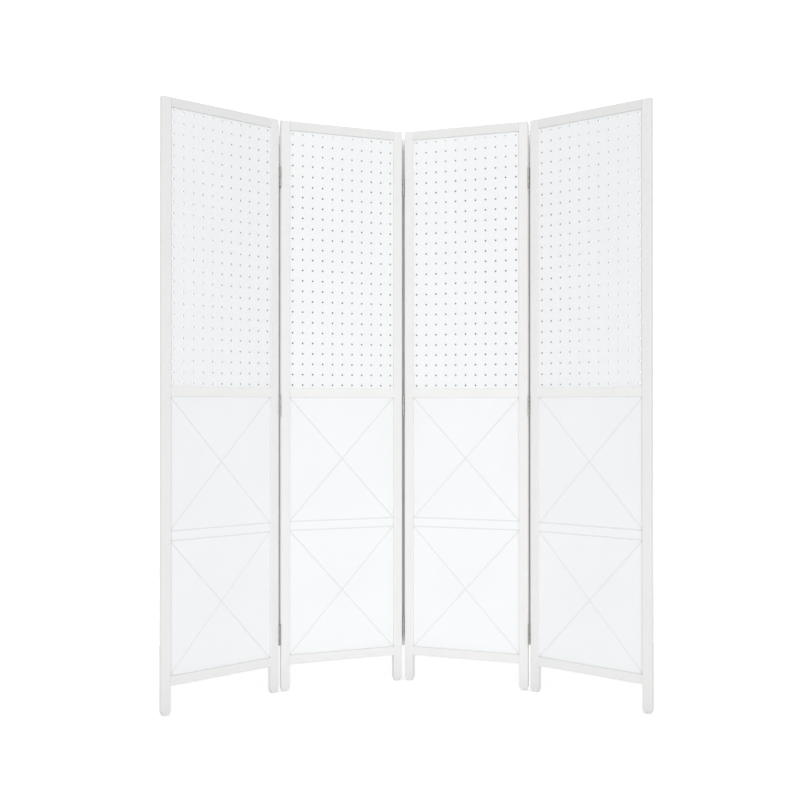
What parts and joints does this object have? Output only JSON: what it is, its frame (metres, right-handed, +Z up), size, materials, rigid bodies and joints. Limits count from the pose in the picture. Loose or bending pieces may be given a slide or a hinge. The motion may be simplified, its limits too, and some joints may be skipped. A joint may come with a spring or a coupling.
{
  "type": "folding screen",
  "caption": "Freestanding folding screen in an arc: white frames with perforated peg board above a cross-grooved board, joined by two-way hinges.",
  "frame": {"origin": "on the floor, at the bottom centre of the bounding box of the screen standing in its arc", "axes": "+Z up; -Y is the front, the hollow side of the arc; +X to the right as seen from the front"},
  "size_m": [1.409, 0.4192, 1.76],
  "materials": {
    "frame_paint": "satin white paint on wood",
    "board_paint": "smooth white coating on fibreboard",
    "hinge_steel": "nickel plated",
    "beech_dowel": "bare wood"
  },
  "bodies": {
    "panel_1": {"panel_1_left_stile": "frame_paint", "panel_1_right_stile": "frame_paint", "panel_1_top_rail": "frame_paint", "panel_1_peg_rail": "frame_paint", "panel_1_bottom_rail": "frame_paint", "panel_1_pegboard": "board_paint", "panel_1_lower_board": "board_paint", "panel_1_dowels": "beech_dowel", "fold_1_left_leaves": "hinge_steel", "fold_1_left_screws": "hinge_steel"},
    "panel_2": {"panel_2_left_stile": "frame_paint", "panel_2_right_stile": "frame_paint", "panel_2_top_rail": "frame_paint", "panel_2_peg_rail": "frame_paint", "panel_2_bottom_rail": "frame_paint", "panel_2_pegboard": "board_paint", "panel_2_lower_board": "board_paint", "panel_2_dowels": "beech_dowel", "fold_1_right_leaves": "hinge_steel", "fold_1_right_screws": "hinge_steel", "fold_2_left_leaves": "hinge_steel", "fold_2_left_screws": "hinge_steel"},
    "panel_3": {"panel_3_left_stile": "frame_paint", "panel_3_right_stile": "frame_paint", "panel_3_top_rail": "frame_paint", "panel_3_peg_rail": "frame_paint", "panel_3_bottom_rail": "frame_paint", "panel_3_pegboard": "board_paint", "panel_3_lower_board": "board_paint", "panel_3_dowels": "beech_dowel", "fold_2_right_leaves": "hinge_steel", "fold_2_right_screws": "hinge_steel", "fold_3_left_leaves": "hinge_steel", "fold_3_left_screws": "hinge_steel"},
    "panel_4": {"panel_4_left_stile": "frame_paint", "panel_4_right_stile": "frame_paint", "panel_4_top_rail": "frame_paint", "panel_4_peg_rail": "frame_paint", "panel_4_bottom_rail": "frame_paint", "panel_4_pegboard": "board_paint", "panel_4_lower_board": "board_paint", "panel_4_dowels": "beech_dowel", "fold_3_right_leaves": "hinge_steel", "fold_3_right_screws": "hinge_steel"},
    "fold_1_link": {"fold_1_links": "hinge_steel", "fold_1_front_pins": "hinge_steel", "fold_1_rear_pins": "hinge_steel"},
    "fold_2_link": {"fold_2_links": "hinge_steel", "fold_2_front_pins": "hinge_steel", "fold_2_rear_pins": "hinge_steel"},
    "fold_3_link": {"fold_3_links": "hinge_steel", "fold_3_front_pins": "hinge_steel", "fold_3_rear_pins": "hinge_steel"}
  },
  "joints": [
    {"name": "fold_1_rear", "type": "hinge", "parent": "panel_2", "child": "fold_1_link", "pos_m": [-0.39023, 0.06753, 0.88], "axis": [0, 0, 1], "range_deg": [-176, 0]},
    {"name": "fold_1_front", "type": "hinge", "parent": "fold_1_link", "child": "panel_1", "pos_m": [-0.38339, 0.04873, 0.88], "axis": [0, 0, 1], "range_deg": [-20, 156]},
    {"name": "fold_2_front", "type": "hinge", "parent": "panel_2", "child": "fold_2_link", "pos_m": [0, 0.18828, 0.88], "axis": [0, 0, 1], "range_deg": [-110, 40]},
    {"name": "fold_2_rear", "type": "hinge", "parent": "fold_2_link", "child": "panel_3", "pos_m": [0.00684, 0.20707, 0.88], "axis": [0, 0, 1], "range_deg": [0, 176]},
    {"name": "fold_3_front", "type": "hinge", "parent": "panel_3", "child": "fold_3_link", "pos_m": [0.38339, 0.04873, 0.88], "axis": [0, 0, -1], "range_deg": [-20, 156]},
    {"name": "fold_3_rear", "type": "hinge", "parent": "fold_3_link", "child": "panel_4", "pos_m": [0.39625, 0.06406, 0.88], "axis": [0, 0, -1], "range_deg": [-176, 0]}
  ]
}
